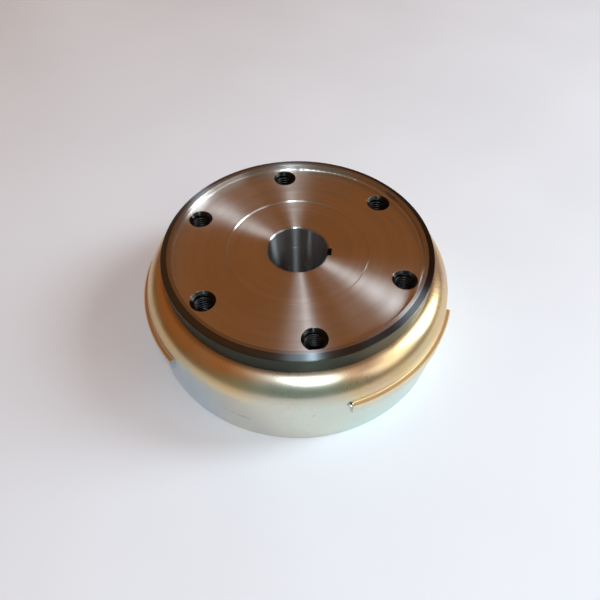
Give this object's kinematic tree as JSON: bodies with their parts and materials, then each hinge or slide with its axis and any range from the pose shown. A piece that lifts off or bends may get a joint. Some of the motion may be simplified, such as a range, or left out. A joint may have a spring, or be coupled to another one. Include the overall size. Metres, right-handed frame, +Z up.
{
  "type": "magneto flywheel rotor",
  "caption": "Magneto flywheel rotor: plated steel cup on a machined hub with a keyed taper bore, threaded clutch holes, trigger bars and inner arc magnets.",
  "frame": {"origin": "centre of the open rim's plane, on the rotor's axis", "axes": "+Z up the axis, out of the hub face; the rotor stands mouth down on the XY plane"},
  "size_m": [0.1294, 0.1276, 0.0444],
  "materials": {
    "plated_steel": "yellow zinc plating, iridescent",
    "turned_steel": "fine turned",
    "weld_steel": "rough weld bead",
    "moulded_plastic": "moulded, matt",
    "spacer_alloy": "sawn, dull",
    "liner_steel": "rolled sheet",
    "magnet_ferrite": "ground sintered"
  },
  "bodies": {
    "root": {"cup": "plated_steel", "hub": "turned_steel", "hub_boss": "turned_steel", "hub_weld": "weld_steel", "trigger_bar_a": "plated_steel", "trigger_bar_b": "plated_steel", "magnet_cage": "moulded_plastic", "magnet_spacer": "spacer_alloy", "magnet_liner": "liner_steel", "magnet_1": "magnet_ferrite", "magnet_2": "magnet_ferrite", "magnet_3": "magnet_ferrite", "magnet_4": "magnet_ferrite", "magnet_5": "magnet_ferrite", "magnet_6": "magnet_ferrite", "magnet_7": "magnet_ferrite", "magnet_8": "magnet_ferrite", "magnet_9": "magnet_ferrite", "magnet_10": "magnet_ferrite", "magnet_11": "magnet_ferrite", "magnet_12": "magnet_ferrite"}
  },
  "joints": []
}
